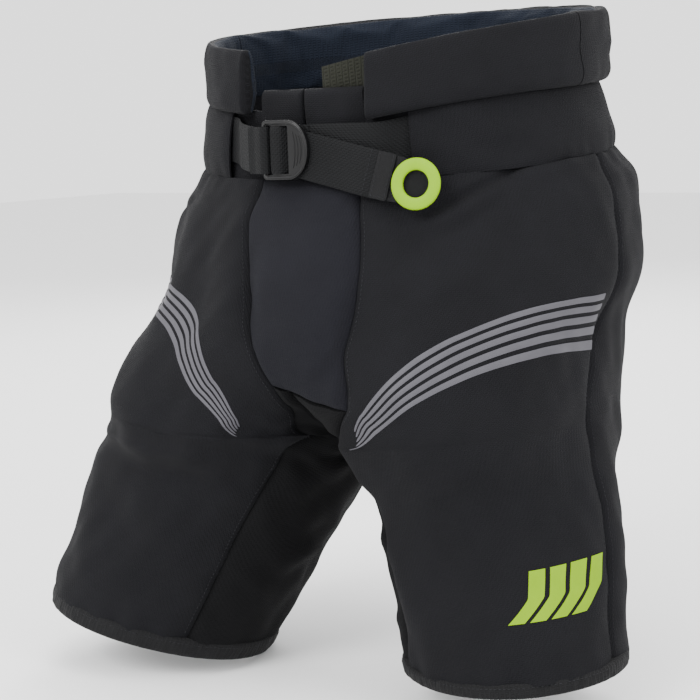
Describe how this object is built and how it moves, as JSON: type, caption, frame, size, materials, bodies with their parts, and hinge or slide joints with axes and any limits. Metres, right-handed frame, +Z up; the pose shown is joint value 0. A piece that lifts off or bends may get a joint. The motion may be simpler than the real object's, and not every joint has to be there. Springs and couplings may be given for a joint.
{
  "type": "padded goalkeeper shorts",
  "caption": "Padded shorts for a field-hockey goalkeeper, with a raised foam collar, front pouch, belt with ladder buckle and pull ring, and padded legs.",
  "frame": {"origin": "centre of the wearer's waist at belt height", "axes": "+Z up, the wearer faces -Y, the wearer's left is +X"},
  "size_m": [0.5371, 0.3799, 0.5682],
  "materials": {
    "shell_fabric": "matte black padded polyester weave",
    "gusset_fabric": "black stretch mesh",
    "binding": "black edge tape",
    "foam": "closed-cell foam",
    "lining": "navy brushed lining",
    "stripe_film": "grey heat-bonded film",
    "stretch_fabric": "charcoal stretch fabric",
    "webbing": "black woven webbing",
    "buckle_plastic": "black moulded acetal",
    "lime_rubber": "lime rubber",
    "closure_tab": "dark olive loop tape"
  },
  "bodies": {
    "pelvis": {"hip_front_right": "shell_fabric", "seat_right": "shell_fabric", "waistband_right": "shell_fabric", "belt_tunnel_right": "shell_fabric", "fly_right": "shell_fabric", "hip_front_left": "shell_fabric", "seat_left": "shell_fabric", "waistband_left": "shell_fabric", "belt_tunnel_left": "shell_fabric", "fly_left": "shell_fabric", "collar_cover_right": "shell_fabric", "collar_cover_back": "shell_fabric", "collar_cover_left": "shell_fabric", "gusset_right": "gusset_fabric", "gusset_left": "gusset_fabric", "hip_pad_right": "foam", "hip_pad_left": "foam", "collar_foam_right": "foam", "collar_foam_back": "foam", "collar_foam_left": "foam", "belly_pad": "foam", "tailbone_pad": "foam", "body_lining_right": "lining", "body_lining_left": "lining", "collar_lining_right": "lining", "collar_lining_back": "lining", "collar_lining_left": "lining", "stripe_right_1": "stripe_film", "stripe_right_2": "stripe_film", "stripe_right_3": "stripe_film", "stripe_right_4": "stripe_film", "stripe_right_5": "stripe_film", "stripe_left_1": "stripe_film", "stripe_left_2": "stripe_film", "stripe_left_3": "stripe_film", "stripe_left_4": "stripe_film", "stripe_left_5": "stripe_film", "front_pouch": "stretch_fabric", "belt_webbing": "webbing", "side_bar_loop": "webbing", "closure_tab": "closure_tab"},
    "leg_left": {"thigh_front_left": "shell_fabric", "thigh_back_left": "shell_fabric", "inner_thigh_left": "gusset_fabric", "hem_binding_left": "binding", "thigh_pad_left": "foam", "leg_lining_left": "lining", "thigh_badge": "lime_rubber"},
    "leg_right": {"thigh_front_right": "shell_fabric", "thigh_back_right": "shell_fabric", "inner_thigh_right": "gusset_fabric", "hem_binding_right": "binding", "thigh_pad_right": "foam", "leg_lining_right": "lining"},
    "buckle": {"buckle_frame": "buckle_plastic", "centre_bar_turn": "webbing"},
    "tail": {"belt_tail": "webbing"},
    "pull": {"pull_tab": "webbing", "pull_ring": "lime_rubber"}
  },
  "joints": [
    {"name": "left_thigh_swing", "type": "hinge", "parent": "pelvis", "child": "leg_left", "pos_m": [0, -0.045, -0.15], "axis": [-1, 0, 0], "range_deg": [-10, 30]},
    {"name": "right_thigh_swing", "type": "hinge", "parent": "pelvis", "child": "leg_right", "pos_m": [0, -0.045, -0.15], "axis": [-1, 0, 0], "range_deg": [-10, 30]},
    {"name": "buckle_tilt", "type": "hinge", "parent": "pelvis", "child": "buckle", "pos_m": [-0.0315, -0.1482, -0.035], "axis": [0, 0, -1], "range_deg": [0, 25]},
    {"name": "tail_pull", "type": "slide", "parent": "buckle", "child": "tail", "axis": [0.9717, 0, -0.2364], "range_m": [0, 0.05]},
    {"name": "ring_lift", "type": "hinge", "parent": "tail", "child": "pull", "pos_m": [0.084, -0.1385, -0.0585], "axis": [-0.2294, -0.1961, -0.9534], "range_deg": [0, 80]}
  ]
}
